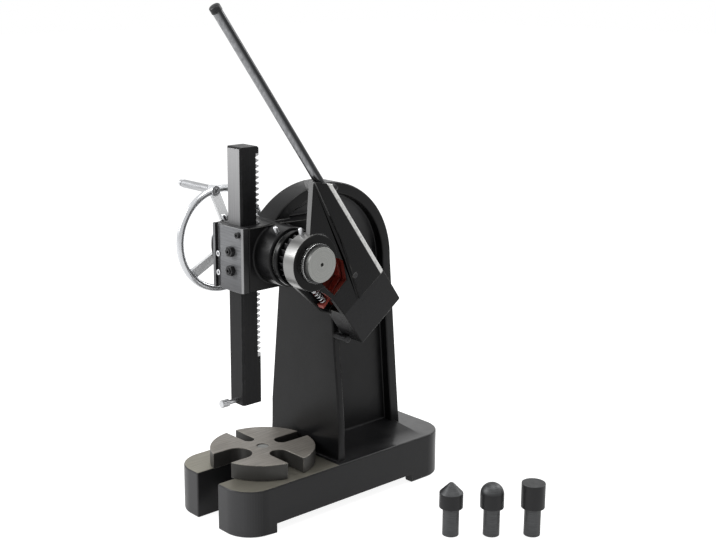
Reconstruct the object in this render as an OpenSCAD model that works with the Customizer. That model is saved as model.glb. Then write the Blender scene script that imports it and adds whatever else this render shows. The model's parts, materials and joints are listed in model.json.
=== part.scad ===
// Ratchet arbor press: a cast frame with a slotted anvil plate, a square ram with a rack,
// a pinion shaft turned by a handwheel or by a ratchet lever, and three loose pressing tips.
// X is the operator's right, Y is away from the operator, Z is up.
// The ram's axis crosses the bench plane at the origin.

/* [Ram] */
// Width across the square ram
ram_w = 38; // [36:0.5:42]
// Length of the ram
ram_len = 440; // [420:1:470]
// Height of the ram's lower end above the bench, as it rests
ram_rest_z = 200; // [190:1:230]
// Height of the first rack tooth above the ram's lower end
rack_start = 78; // [60:1:120]
// Plain length left above the last rack tooth
rack_top_margin = 14; // [8:1:30]
// Chamfer round the ram's top end
ram_chamfer = 3; // [1:0.5:5]
// Flat on the ram's two front edges
ram_edge = 3; // [1:0.5:4]
// Diameter of the bore that takes the pressing tips
tool_bore_d = 28; // [20:0.5:28.5]
// Depth of the tip bore
tool_bore_depth = 52; // [51:1:65]
// Height of the thumbscrew above the ram's lower end
thumbscrew_h = 6.5; // [6:0.5:20]
// Thread diameter of the thumbscrew
thumbscrew_d = 8; // [6:0.5:10]
// Diameter of the thumbscrew's knob
thumbscrew_knob_d = 13; // [11:0.5:16]

/* [Rack and pinion] */
// Module of the rack and pinion teeth
gear_module = 3; // [2.8:0.05:3.2]
// Number of pinion teeth
pinion_teeth = 16; // [16:1:18]
// Height of the pinion axis above the bench
pinion_z = 461; // [455:1:470]
// Thinning of each tooth flank that leaves backlash
gear_backlash = 0.2; // [0.1:0.05:0.4]
// Diameter of the right journal, which carries the ratchet lever
journal_d = 58; // [58:0.5:62]
// Diameter of the left journal
left_journal_d = 36; // [30:0.5:38]
// Distance from the ram's middle plane to the shaft's right end
shaft_right = 152.5; // [150:0.5:165]
// Wall of the two bearing bushes
bush_wall = 4; // [3:0.5:6]

/* [Frame] */
// Width of the base
base_w = 208; // [200:1:230]
// Height of the base
base_h = 82; // [70:1:95]
// How far the base reaches ahead of the ram's axis
base_front = 84; // [80:1:110]
// How far the base reaches behind the ram's axis
base_rear = 394; // [385:1:430]
// Corner radius of the base
base_corner_r = 52; // [40:1:60]
// Thickness of the base's side walls
base_wall = 18; // [12:1:24]
// Thickness of the base's top
base_roof = 22; // [16:1:30]
// Width of the notch between the two prongs
notch_w = 57; // [44:1:70]
// Height of the arch between the feet
arch_h = 16; // [8:1:22]
// Length of the front feet
front_foot = 67; // [50:1:75]
// Length of the rear foot
rear_foot = 91; // [70:1:110]
// Throat, from the ram's axis to the face of the column
throat = 131.5; // [129:0.5:140]
// Thickness of the column's front flange
flange_t = 14; // [10:0.5:20]
// Width of the front flange at the base
column_w_base = 186; // [150:1:194]
// Width of the front flange below the head
column_w_top = 136; // [110:1:146]
// Thickness of the column's web
web_t = 16; // [10:0.5:24]
// Width of the rear flange and of the rim round the head
rear_w = 48; // [36:1:60]
// Thickness of the rear flange and of the rim
rear_t = 20; // [14:0.5:26]
// Distance from the ram's axis to the back of the column at the base
column_back = 345; // [335:1:360]
// Rise of the base's top toward the web
plinth_rise = 13; // [6:1:20]
// Radius of the round head
head_r = 155; // [150:1:160]
// Distance from the ram's axis to the centre of the head
head_y = 163; // [158:1:168]
// Height of the centre of the head
head_z = 409; // [404:1:414]
// Width of the ram housing
housing_w = 78; // [76:1:90]
// Height of the underside of the ram housing
housing_z0 = 402; // [395:1:405]
// Height of the top of the ram housing
housing_z1 = 511; // [508:1:520]
// Diameter of the cross boss that carries the pinion shaft
boss_d = 100; // [96:1:104]
// Distance from the ram's middle plane to each end of the boss
boss_half = 80; // [78:0.5:82]

/* [Front cover] */
// Thickness of the front cover at its raised middle
cover_t = 14; // [12:0.5:18]
// Depth of the groove at the cover's left
cover_step = 5; // [4:0.5:8]
// Height of the lip at the cover's left edge above its face
cover_lip_h = 1.5; // [1:0.5:4]
// Flat on the cover's right front edge
cover_edge = 3; // [1:0.5:3]
// Distance from the ram's middle plane to the cover screws
cover_screw_x = 26; // [25:0.5:28]
// Distance of the cover screws below the gib screws
cover_screw_drop = 10; // [6:1:12]
// Spacing of the cover screws and the gib screws in height
cover_screw_z = 32; // [24:1:40]
// Thread diameter of the cover screws
cover_screw_d = 6; // [5:0.5:6.5]
// Thread diameter of the gib screws
gib_screw_d = 10; // [8:0.5:11]
// Distance from the ram's middle plane to the gib screws
gib_screw_x = 12; // [8:0.5:12]
// Thickness of the gib strip behind the cover
gib_t = 5; // [4:0.5:6]
// Width of the gib strip
gib_w = 36; // [34:1:37]

/* [Anvil plate] */
// Diameter of the anvil plate
anvil_d = 184; // [170:1:186]
// Thickness of the anvil plate
anvil_t = 28; // [20:1:36]
// Distance from the ram's axis back to the plate's pivot
anvil_y = 36; // [34:0.5:38]
// Distance from the pivot to the bottom of each slot
anvil_core = 30; // [26:1:34]
// Width of the slot at the front
slot_front_w = 50; // [40:1:56]
// Width of the slot at the right
slot_right_w = 34; // [26:1:40]
// Width of the slot at the back
slot_back_w = 26; // [18:1:30]
// Width of the slot at the left
slot_left_w = 20; // [14:1:26]
// Diameter of the pivot pin
anvil_pin_d = 20; // [16:0.5:24]
// Depth of the pivot pin in the base
anvil_pin_depth = 30; // [20:1:45]

/* [Ratchet] */
// Number of ratchet teeth
ratchet_teeth = 24; // [20:2:28]
// Radius over the ratchet teeth
ratchet_r = 43; // [42:0.25:43.5]
// Height of the ratchet teeth
ratchet_tooth_h = 6; // [5:0.25:6.5]
// Width of the ratchet wheel
ratchet_w = 14; // [12:0.5:15]
// Width and height of the key in the ratchet wheel
ratchet_key_w = 8; // [6:0.5:9]

/* [Ratchet lever] */
// Forward tilt of the lever from the vertical, as it rests
lever_tilt = 35.8; // [30:0.1:40]
// Radius of the lever's hub
lever_hub_r = 47; // [46:0.5:49]
// Thickness of the lever's inner cheek
inner_cheek_t = 10; // [8:0.5:12]
// Thickness of the lever's outer cheek
outer_cheek_t = 16; // [12:0.5:18]
// Length of the lever's outer hub along the shaft
outer_hub_len = 28; // [24:0.5:30]
// Reach of the lever block below the shaft
lever_drop = 190; // [180:1:200]
// Reach of the lever block behind the shaft
lever_back = 104; // [102:0.5:108]
// Thickness of the spine that holds the rod
spine_t = 30; // [28:0.5:36]
// Height of the lever's hub and rib above its plate
lever_rib_h = 4; // [2:0.5:6]
// Radius of the rib's long rear edge
lever_edge_r = 9; // [4:0.5:9]
// Diameter of the lever rod
rod_d = 16; // [14:0.5:18]
// Reach of the lever rod above the shaft, along the rod
rod_reach = 436; // [400:1:480]
// Length of rod held in the lever
rod_hold = 64; // [50:1:70]
// Wall of the cap on the end of the lever rod
rod_cap_wall = 0.8; // [0.6:0.1:3]
// Length of rod inside the cap
rod_cap_depth = 7; // [4:0.5:14]
// Diameter of the pawl's pivot pin
pawl_pin_d = 10; // [8:0.5:11]
// Angle by which the pawl is held out of the ratchet, as it rests
pawl_lift = 8; // [7:0.5:9]
// Play between a seated pawl and the face of its tooth
pawl_play = 1.4; // [1.2:0.1:1.8]
// Diameter of the pawl spring
spring_d = 11; // [9:0.5:12]
// Diameter of the spring's wire
spring_wire_d = 2; // [1.5:0.1:2.2]
// Number of curls in the pawl spring
spring_curls = 6; // [4:1:7]

/* [Handwheel] */
// Outer diameter of the handwheel
wheel_d = 190; // [180:1:210]
// Diameter of the rim's bar
wheel_bar_d = 13; // [10:0.5:16]
// Distance from the ram's middle plane to the plane of the rim
wheel_x = 115; // [110:0.5:118]
// Diameter of the wheel's hub
wheel_hub_d = 42; // [38:1:50]
// Diameter of the shaft's seat for the wheel
wheel_seat_d = 25; // [22:0.5:27]
// Width and height of the key in the wheel
wheel_key_w = 6; // [5:0.5:8]
// Width of each flat spoke
spoke_w = 18; // [12:0.5:22]
// Thickness of each spoke
spoke_t = 8; // [6:0.5:11]
// Lean of the first spoke forward of the vertical
spoke_lean = 10; // [0:1:30]
// Diameter of the crank grip
grip_d = 15; // [13:0.5:20]
// Length of the crank grip
grip_len = 84; // [70:1:100]
// Diameter of the grip's spindle
spindle_d = 8; // [6:0.5:9]

/* [Pressing tips] */
// Diameter of the tips' heads
tip_head_d = 40; // [34:0.5:44]
// Length of the tips
tip_len = 92; // [80:1:110]
// Length of the shanks
tip_shank_len = 49; // [40:1:50]
// Height of the point on the pointed tip
tip_point_h = 17; // [10:0.5:24]
// Place of the middle tip to the right of the ram's axis
tips_x = 343; // [330:1:400]
// Place of the middle tip behind the ram's axis
tips_y = 249; // [220:1:280]
// Distance from one tip to the next
tip_pitch = 68; // [60:1:90]

/* [Clearances] */
// Gap on each side of the ram in its guide
ram_gap = 0.15; // [0.1:0.01:0.25]
// Radial running clearance of shafts and pins
run_gap = 0.05; // [0.02:0.01:0.1]
// Gap between neighbours that pass each other
side_gap = 0.4; // [0.3:0.05:0.5]
// Radial gap of fixed screws, pins and keys in their holes
seat_gap = 0.02; // [0.01:0.005:0.04]

/* [Hidden] */
$fn = 64;

// Overlap that keeps a cut from ending on a face
cut = 1;

// Gear sizes
pressure_angle = 20;
addendum = 0.9 * gear_module;
dedendum = 1.25 * gear_module;
pitch_r = gear_module * pinion_teeth / 2;
pinion_tip_r = pitch_r + addendum;
pinion_root_r = pitch_r - dedendum;
rack_pitch = PI * gear_module;
pinion_y = ram_w / 2 - addendum + pitch_r;
pinion_half = ram_w / 2;
rack_count = floor((ram_len - rack_start - rack_top_margin) / rack_pitch);

// Housing and cover
housing_face = -(ram_w / 2 + ram_gap);
cover_face = housing_face - cover_t;
flange_face = cover_face + cover_step;
gib_row_z = (housing_z0 + housing_z1) / 2 - 2.5;
gib_rows = [gib_row_z - cover_screw_z / 2, gib_row_z + cover_screw_z / 2];
cover_rows = [for (z = gib_rows) z - cover_screw_drop];
bolt_x = housing_w / 2 - 8;
bolt_z = housing_z1 - 11;
nut_across = 1.6 * gib_screw_d;
nut_h = 0.8 * gib_screw_d;
screw_head_d = 5 / 3 * cover_screw_d;
screw_head_h = cover_screw_d;
screw_depth = 20;
socket_d = 0.7 * cover_screw_d;
bush_right_r = journal_d / 2 + run_gap + bush_wall;
bush_left_r = left_journal_d / 2 + run_gap + bush_wall;
bush_inner_x = pinion_half + 1;

// Places along the shaft, to the right
washer_x0 = boss_half + side_gap;
washer_x1 = washer_x0 + 4;
inner_cheek_x0 = washer_x1 + side_gap;
inner_cheek_x1 = inner_cheek_x0 + inner_cheek_t;
ratchet_x0 = inner_cheek_x1 + side_gap;
ratchet_x1 = ratchet_x0 + ratchet_w;
outer_hub_x0 = ratchet_x1 + side_gap;
lever_face = outer_hub_x0 + outer_hub_len;
outer_cheek_x0 = lever_face - outer_cheek_t;
spine_x0 = lever_face - spine_t;
plate_face = lever_face - lever_rib_h;
collar_x0 = lever_face + side_gap;
collar_t = 6;
collar_r = journal_d / 2 + 4;

// Places along the shaft, to the left
wheel_hub_x0 = -(boss_half + 4);
wheel_hub_x1 = -(wheel_x + spoke_t / 2);
shaft_left = wheel_hub_x1 + 1;
wheel_washer_t = 3;
wheel_screw_d = 8;
wheel_screw_depth = 18;

// Lever sizes, in the lever's own plane: [back from the shaft, up along the rod]
spine_front = 64;
rod_y = lever_back - rod_d / 2 - 5;
rod_x = lever_face - spine_t / 2;
block_top = -118;
neck_top = [spine_front + 12, 108];
rear_top = [lever_back, 78];
rod_foot = neck_top[1] - rod_hold;
hub_ring_r = (lever_hub_r + journal_d / 2) / 2;
pawl_pivot = [50, -78];
pawl_boss_r = 10;
pawl_face_angle = -6;
spring_top = [-13, -58];
spring_foot = [-8, -91];
stop_d = 12;
rod_screw_d = 8;

// Handwheel sizes
rim_r = (wheel_d - wheel_bar_d) / 2;
rim_boss = wheel_bar_d / 2 + 1;
grip_x0 = -(wheel_x + rim_boss + side_gap);
grip_x1 = grip_x0 - grip_len;

// Anvil
anvil_gap = 0.3;
anvil_z = base_h + anvil_gap;
tip_shank_d = tool_bore_d - 2 * run_gap;

// A plate whose outline is drawn in Y and Z
module along_x(x0, x1) {
    translate([x0, 0, 0]) rotate([90, 0, 90]) linear_extrude(x1 - x0) children();
}

// A plate whose outline is drawn in X and Z
module along_y(y0, y1) {
    translate([0, y1, 0]) rotate([90, 0, 0]) linear_extrude(y1 - y0) children();
}

// A cylinder along X between two places
module x_cyl(x0, x1, d) {
    translate([x0, 0, 0]) rotate([0, 90, 0]) cylinder(h = x1 - x0, d = d);
}

// A cylinder along Y between two places
module y_cyl(y0, y1, d) {
    translate([0, y0, 0]) rotate([-90, 0, 0]) cylinder(h = y1 - y0, d = d);
}

// A hexagonal prism along Y between two places
module y_hex(y0, y1, across) {
    translate([0, y0, 0]) rotate([-90, 0, 0]) cylinder(h = y1 - y0, d = across / cos(30), $fn = 6);
}

module at_pinion() {
    translate([0, pinion_y, pinion_z]) children();
}

// The lever's own plane: Y is back from the shaft, Z is up along the rod
module at_lever() {
    at_pinion() rotate([lever_tilt, 0, 0]) children();
}

module rounded_square(w, y0, y1, r) {
    translate([-w / 2 + r, y0]) square([w - 2 * r, y1 - y0]);
    translate([-w / 2, y0 + r]) square([w, y1 - y0 - 2 * r]);
    for (x = [-w / 2 + r, w / 2 - r], y = [y0 + r, y1 - r]) translate([x, y]) circle(r);
}

// Base: two prongs in front, feet below, hollow underneath

module base_outline() {
    difference() {
        rounded_square(base_w, -base_front, base_rear, base_corner_r);
        translate([-notch_w / 2, -base_front - cut]) square([notch_w, base_front + cut - notch_w / 4]);
        translate([0, -notch_w / 4]) circle(d = notch_w);
    }
}

module base_hollow() {
    translate([0, 0, -cut]) linear_extrude(base_h - base_roof + cut) rounded_square(base_w - 2 * base_wall,
        anvil_y + anvil_pin_d, base_rear - base_wall, base_corner_r - base_wall);
}

module base_feet() {
    color("#232325") difference() {
        linear_extrude(arch_h) base_outline();
        translate([-base_w / 2 - cut, -base_front + front_foot, -cut])
            cube([base_w + 2 * cut, base_front + base_rear - front_foot - rear_foot, arch_h + 2 * cut]);
        base_hollow();
    }
}

module base_casting() {
    color("#232325") difference() {
        translate([0, 0, arch_h]) linear_extrude(base_h - arch_h) base_outline();
        base_hollow();
        translate([0, anvil_y, base_h - anvil_pin_depth])
            cylinder(h = anvil_pin_depth + cut, d = anvil_pin_d + 2 * seat_gap);
    }
}

// Column, head, ram housing and cross boss, standing on the base

module front_flange() {
    straight_z = base_h + 68;
    shoulder_z = housing_z0 + 36;
    w0 = column_w_base / 2;
    w1 = column_w_top / 2;
    w2 = housing_w / 2;
    along_y(throat, throat + flange_t) polygon([[-w0, base_h], [w0, base_h], [w0, straight_z],
        [w1, housing_z0], [w2, shoulder_z], [-w2, shoulder_z], [-w1, housing_z0], [-w0, straight_z]]);
}

module column_web() {
    head_back = head_y + head_r - rear_t / 2;
    along_x(-web_t / 2, web_t / 2) {
        polygon([[throat + cut, base_h], [column_back - rear_t / 2, base_h],
            [head_back, head_z], [throat + cut, head_z]]);
        intersection() {
            translate([head_y, head_z]) circle(head_r - rear_t / 2);
            translate([ram_w, housing_z0 + cut]) square(2 * head_r);
        }
    }
}

module rear_flange() {
    along_x(-rear_w / 2, rear_w / 2) {
        polygon([[column_back - rear_t, base_h], [column_back, base_h],
            [head_y + head_r, head_z], [head_y + head_r - rear_t, head_z]]);
        intersection() {
            translate([head_y, head_z]) difference() {
                circle(head_r);
                circle(head_r - rear_t);
            }
            translate([head_y - head_r + ram_w, head_z]) square(2 * head_r);
        }
    }
}

module plinth() {
    half = column_w_base / 2;
    along_y(throat + cut, column_back - rear_t / 2) polygon([[-half, base_h], [half, base_h],
        [0, base_h + plinth_rise]]);
}

module ram_housing() {
    translate([-housing_w / 2, housing_face, housing_z0])
        cube([housing_w, throat + flange_t - housing_face, housing_z1 - housing_z0]);
    at_pinion() x_cyl(-boss_half, boss_half, boss_d);
}

module oil_cup_places() {
    for (x = [-1, 1]) at_pinion() translate([x * (boss_half - 10), 0, 0]) rotate([30, 0, 0]) children();
}

module frame_casting() {
    ram_slot = ram_w + 2 * ram_gap;
    slot_z0 = min(housing_z0, pinion_z - boss_d / 2) - cut;
    slot_z1 = max(housing_z1, pinion_z + boss_d / 2) + cut;
    color("#232325") difference() {
        union() {
            front_flange();
            column_web();
            rear_flange();
            plinth();
            ram_housing();
        }
        translate([-ram_slot / 2, housing_face - cut, slot_z0]) cube([ram_slot, ram_slot + cut, slot_z1 - slot_z0]);
        at_pinion() {
            x_cyl(-bush_inner_x, bush_inner_x, 2 * pinion_tip_r + 2);
            x_cyl(bush_inner_x - cut, boss_half + cut, 2 * (bush_right_r + seat_gap));
            x_cyl(-boss_half - cut, -bush_inner_x + cut, 2 * (bush_left_r + seat_gap));
        }
        for (z = cover_rows) translate([-cover_screw_x, 0, z])
            y_cyl(housing_face - cut, housing_face + screw_depth, cover_screw_d + 2 * seat_gap);
        translate([bolt_x, 0, bolt_z])
            y_cyl(housing_face - cut, housing_face + screw_depth, cover_screw_d + 2 * seat_gap);
        oil_cup_places() translate([0, 0, bush_left_r]) cylinder(h = boss_d, d = oil_cup_d + 2 * seat_gap);
        lever_stop_place() x_cyl(-stop_seat, cut, stop_d + 2 * seat_gap);
    }
}

module front_cover() {
    half = housing_w / 2;
    lip = -cover_screw_x - screw_head_d / 2 - 1.5;
    groove = -cover_screw_x + screw_head_d / 2 + 1;
    lip_face = cover_face - cover_lip_h;
    gib_depth = gib_t + seat_gap;
    color("#8d9094") difference() {
        translate([0, 0, housing_z0]) linear_extrude(housing_z1 - housing_z0) polygon([
            [-half, housing_face], [-half, lip_face], [lip, lip_face], [lip, flange_face], [groove, flange_face],
            [groove, cover_face], [half - cover_edge, cover_face], [half, cover_face + cover_edge],
            [half, housing_face]]);
        translate([-gib_w / 2 - seat_gap, housing_face - gib_depth, housing_z0 + gib_margin - seat_gap])
            cube([gib_w + 2 * seat_gap, gib_depth + cut, gib_len + 2 * seat_gap]);
        for (z = gib_rows) translate([gib_screw_x, 0, z])
            y_cyl(cover_face - cut, housing_face, gib_screw_d + 2 * seat_gap);
        for (z = cover_rows) translate([-cover_screw_x, 0, z])
            y_cyl(flange_face - cut, housing_face + cut, cover_screw_d + 2 * seat_gap);
        translate([bolt_x, 0, bolt_z])
            y_cyl(cover_face - cut, housing_face + cut, cover_screw_d + 2 * seat_gap);
    }
}

// Socket head screw whose head sits on a face
module cap_screw(face) {
    difference() {
        union() {
            y_cyl(face, housing_face + screw_depth - 2, cover_screw_d);
            y_cyl(face - screw_head_h, face, screw_head_d);
        }
        y_hex(face - screw_head_h - cut, face - screw_head_h / 2, socket_d);
    }
}

// Bright screws in the cover's groove
module cover_screws() {
    color("#c9cbce") for (z = cover_rows) translate([-cover_screw_x, 0, z]) cap_screw(flange_face);
}

// Black screw at the cover's upper right corner
module cover_bolt() {
    color("#2b2c2e") translate([bolt_x, 0, bolt_z]) cap_screw(cover_face);
}

gib_margin = 3;
gib_len = housing_z1 - housing_z0 - 2 * gib_margin;

// Strip behind the cover that takes up the ram's play
module gib_strip() {
    color("#b08d4a") translate([-gib_w / 2, housing_face - gib_t, housing_z0 + gib_margin])
        cube([gib_w, gib_t, gib_len]);
}

// Set screws that press on the gib
module gib_screws() {
    tip = cover_face - nut_h - 2;
    color("#2b2c2e") for (z = gib_rows) translate([gib_screw_x, 0, z]) difference() {
        y_cyl(tip, housing_face - gib_t - seat_gap, gib_screw_d);
        y_hex(tip - cut, tip + 5, gib_screw_d / 2);
    }
}

// Nuts that lock the gib screws
module gib_nuts() {
    color("#2b2c2e") for (z = gib_rows) translate([gib_screw_x, 0, z]) difference() {
        y_hex(cover_face - nut_h, cover_face - seat_gap, nut_across);
        y_cyl(cover_face - nut_h - cut, cover_face + cut, gib_screw_d + 2 * seat_gap);
    }
}

module bush(x0, x1, bore_d, outer_r) {
    color("#b5894b") at_pinion() difference() {
        x_cyl(x0, x1, 2 * outer_r);
        x_cyl(x0 - cut, x1 + cut, bore_d);
    }
}

module bush_right() {
    bush(bush_inner_x, boss_half, journal_d + 2 * run_gap, bush_right_r);
}

module bush_left() {
    bush(-boss_half, -bush_inner_x, left_journal_d + 2 * run_gap, bush_left_r);
}

oil_cup_d = 8;
oil_cup_h = 12;

// Spring lid oilers on top of the boss
module oil_cups() {
    oil_cup_places() oil_cup(boss_d / 2, boss_d / 2 - bush_right_r - 2);
}

// An oiler that stands out of a round face
module oil_cup(face_r, depth) {
    color("#d9dadc") translate([0, 0, face_r - depth]) {
        cylinder(h = depth + oil_cup_h - 4, d = oil_cup_d);
        translate([0, 0, depth + oil_cup_h - 4]) sphere(d = oil_cup_d);
    }
}

stop_seat = 16;
stop_reach = 30;

// The pin that the lever block rests on, in the edge of the front flange
module lever_stop_place() {
    stop_y = throat + flange_t / 2;
    back = stop_y - pinion_y;
    rise = (-(4 + stop_d / 2 + anvil_gap) - back * cos(lever_tilt)) / sin(lever_tilt);
    taper = (housing_z0 - pinion_z - rise) / (housing_z0 - base_h - 68);
    half = column_w_top / 2 + taper * (column_w_base - column_w_top) / 2;
    translate([half, stop_y, pinion_z + rise]) children();
}

module lever_stop() {
    color("#3a3b3d") lever_stop_place() x_cyl(-stop_seat + 1, stop_reach, stop_d);
}

module anvil_pin() {
    color("#9c9da0") translate([0, anvil_y, base_h - anvil_pin_depth + 1])
        cylinder(h = anvil_pin_depth + anvil_t - 2, d = anvil_pin_d);
}

module thrust_washer() {
    color("#b5894b") at_pinion() difference() {
        x_cyl(washer_x0, washer_x1, 2 * lever_hub_r - 6);
        x_cyl(washer_x0 - cut, washer_x1 + cut, journal_d + 2 * run_gap);
    }
}

// Round plate with four slots of different widths

module plate_slot(angle, w) {
    rotate(angle) {
        translate([anvil_core + w / 2, 0]) circle(d = w);
        translate([anvil_core + w / 2, -w / 2]) square([anvil_d, w]);
    }
}

module anvil_plate() {
    color("#8b887d") translate([0, anvil_y, anvil_z]) linear_extrude(anvil_t) difference() {
        circle(d = anvil_d, $fn = 96);
        circle(d = anvil_pin_d + 2 * run_gap);
        plate_slot(-90, slot_front_w);
        plate_slot(0, slot_right_w);
        plate_slot(90, slot_back_w);
        plate_slot(180, slot_left_w);
    }
}

// Ram with a rack cut into its back

// Rack outline in Y and Z: each tooth space is centred on a pinion tooth
function rack_space(k) = let (
    z = rack_first + k * rack_pitch,
    tip = ram_w / 2,
    root = ram_w / 2 - addendum - dedendum,
    at_tip = rack_pitch / 4 + addendum * tan(pressure_angle) + gear_backlash / 2,
    at_root = rack_pitch / 4 - dedendum * tan(pressure_angle) + gear_backlash / 2)
    [[tip, z - at_tip], [root, z - at_root], [root, z + at_root], [tip, z + at_tip]];

// The lowest space, whole pitches below the pinion's axis and half a pitch off it
rack_first = pinion_z + rack_pitch * (ceil((ram_rest_z + rack_start - pinion_z) / rack_pitch) + 1);

module ram() {
    half = ram_w / 2;
    top = ram_rest_z + ram_len;
    edge = ram_edge * sqrt(2);
    color("#54575b") difference() {
        along_x(-half, half) polygon(concat(
            [[-half, top - ram_chamfer], [-half, ram_rest_z], [half, ram_rest_z]],
            [for (k = [0:rack_count - 1]) each rack_space(k)],
            [[half, top - ram_chamfer], [half - ram_chamfer, top], [-half + ram_chamfer, top]]));
        translate([0, 0, ram_rest_z - cut]) cylinder(h = tool_bore_depth + cut, d = tool_bore_d);
        translate([0, 0, ram_rest_z + thumbscrew_h])
            y_cyl(-half - cut, 0, thumbscrew_d + 2 * run_gap);
        for (side = [-1, 1]) translate([side * half, -half, ram_rest_z - cut]) rotate(45)
            translate([-edge / 2, -edge / 2, 0]) cube([edge, edge, ram_len + 2 * cut]);
    }
}

// Thumbscrew that holds a tip in the ram
module ram_thumbscrew() {
    half = ram_w / 2;
    knob_y = -half - 18;
    color("#d5d7da") translate([0, 0, ram_rest_z + thumbscrew_h]) {
        y_cyl(knob_y - cut, -tool_bore_d / 2 - 1, thumbscrew_d);
        difference() {
            y_cyl(knob_y - 15, knob_y, thumbscrew_knob_d);
            for (a = [0:30:330]) rotate([0, a, 0]) translate([thumbscrew_knob_d / 2 + 0.6, 0, 0])
                y_cyl(knob_y - 15 - cut, knob_y + cut, 2.4);
        }
    }
}

// Pinion shaft and what turns with it

function involute(a) = tan(a) * 180 / PI - a;

// Half of a tooth's angle at a radius on its flank
function flank_angle(r) = let (base_r = pitch_r * cos(pressure_angle))
    90 / pinion_teeth - gear_backlash / pitch_r * 90 / PI + involute(pressure_angle)
    - (r > base_r ? involute(acos(base_r / r)) : 0);

// Outline of the pinion: one tooth faces the rack
function pinion_outline() = let (
    base_r = pitch_r * cos(pressure_angle),
    steps = 5,
    radii = concat([pinion_root_r], [for (i = [0:steps]) base_r + (pinion_tip_r - base_r) * i / steps]))
    [for (t = [0:pinion_teeth - 1]) let (mid = 180 + t * 360 / pinion_teeth)
        each concat(
            [for (i = [0:steps + 1]) let (a = mid - flank_angle(radii[i])) radii[i] * [cos(a), sin(a)]],
            [for (i = [steps + 1:-1:0]) let (a = mid + flank_angle(radii[i])) radii[i] * [cos(a), sin(a)]])];

// Slot for a key on top of a shaft
module key_slot(x0, x1, shaft_d, w, gap) {
    translate([x0, -w / 2 - gap, shaft_d / 2 - w / 2 - gap]) cube([x1 - x0, w + 2 * gap, w + 2 * gap]);
}

module pinion_shaft() {
    journal_x0 = bush_inner_x - 0.5;
    color("#b9bbbd") at_pinion() difference() {
        union() {
            x_cyl(-journal_x0, journal_x0, 2 * pinion_root_r);
            along_x(-pinion_half, pinion_half) polygon(pinion_outline());
            x_cyl(journal_x0, shaft_right, journal_d);
            x_cyl(-boss_half - 1, -journal_x0, left_journal_d);
            x_cyl(shaft_left, -boss_half, wheel_seat_d);
        }
        rotate([lever_tilt, 0, 0])
            key_slot(ratchet_x0, ratchet_x1, journal_d, ratchet_key_w, seat_gap);
        key_slot(shaft_left - cut, wheel_hub_x0, wheel_seat_d, wheel_key_w, seat_gap);
        x_cyl(shaft_left - cut, shaft_left + wheel_screw_depth, wheel_screw_d + 2 * seat_gap);
        x_cyl(shaft_right - 8, shaft_right + cut, 6);
        rotate([lever_tilt, 0, 0]) translate([collar_x0 + collar_t / 2, 0, journal_d / 2 - 2])
            cylinder(h = 4, d = collar_screw_d + 2 * seat_gap);
    }
}

// Saw-toothed wheel: the steep faces look against the driving turn
module ratchet_wheel() {
    step = 360 / ratchet_teeth;
    root = ratchet_r - ratchet_tooth_h;
    outline = [for (t = [0:ratchet_teeth - 1]) let (a = pawl_face_angle + t * step)
        each [root * [cos(a), sin(a)], ratchet_r * [cos(a), sin(a)]]];
    color("#8c2f27") at_lever() difference() {
        along_x(ratchet_x0, ratchet_x1) polygon(outline);
        x_cyl(ratchet_x0 - cut, ratchet_x1 + cut, journal_d + 2 * seat_gap);
        key_slot(ratchet_x0 - cut, ratchet_x1 + cut, journal_d, ratchet_key_w, seat_gap);
    }
}

module ratchet_key() {
    color("#77797c") at_lever() key_slot(ratchet_x0 + 0.5, ratchet_x1 - 0.5, journal_d, ratchet_key_w, 0);
}

// Dished wheel: the spokes run from the hub's inner end out to the plane of the rim
module handwheel() {
    spoke_foot = wheel_hub_d / 2 - 3;
    spoke_head = rim_r - 1;
    foot_x = wheel_hub_x0 - spoke_t / 2 - 1;
    color("#d4d6d8") at_pinion() difference() {
        union() {
            translate([-wheel_x, 0, 0]) rotate([0, 90, 0]) rotate_extrude($fn = 96)
                translate([rim_r, 0]) rotate(90) circle(d = wheel_bar_d);
            x_cyl(wheel_hub_x1, wheel_hub_x0, wheel_hub_d);
            for (k = [0:2]) rotate([spoke_lean + 90 + 120 * k, 0, 0])
                linear_extrude(spoke_w, center = true) polygon([
                    [foot_x - spoke_t / 2, spoke_foot], [foot_x + spoke_t / 2, spoke_foot],
                    [-wheel_x + spoke_t / 2, spoke_head], [-wheel_x - spoke_t / 2, spoke_head]]);
            grip_place() x_cyl(-wheel_x - rim_boss, -wheel_x + rim_boss, wheel_bar_d + 5);
        }
        x_cyl(wheel_hub_x1 - cut, wheel_hub_x0 + cut, wheel_seat_d + 2 * seat_gap);
        key_slot(wheel_hub_x1 - cut, wheel_hub_x0 + cut, wheel_seat_d, wheel_key_w, seat_gap);
        grip_place() x_cyl(-wheel_x - rim_boss - cut, -wheel_x + rim_boss + cut, spindle_d + 2 * seat_gap);
    }
}

module wheel_key() {
    color("#77797c") at_pinion()
        key_slot(shaft_left + 0.5, wheel_hub_x0 - 0.5, wheel_seat_d, wheel_key_w, 0);
}

module wheel_washer() {
    washer_x = wheel_hub_x1 - wheel_washer_t;
    color("#b9bbbd") at_pinion() difference() {
        x_cyl(washer_x, wheel_hub_x1, wheel_seat_d + 5);
        x_cyl(washer_x - cut, wheel_hub_x1 + cut, wheel_screw_d + 2 * seat_gap);
    }
}

// Screw in the shaft's end that holds the wheel
module wheel_screw() {
    head_x = wheel_hub_x1 - wheel_washer_t;
    color("#b9bbbd") at_pinion() difference() {
        union() {
            x_cyl(head_x, shaft_left + wheel_screw_depth - 2, wheel_screw_d);
            x_cyl(head_x - 5, head_x, 1.6 * wheel_screw_d);
        }
        translate([head_x - 5 - cut, 0, 0]) rotate([0, 90, 0])
            cylinder(h = 3 + cut, d = 0.6 * wheel_screw_d / cos(30), $fn = 6);
    }
}

collar_screw_d = 4;

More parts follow.
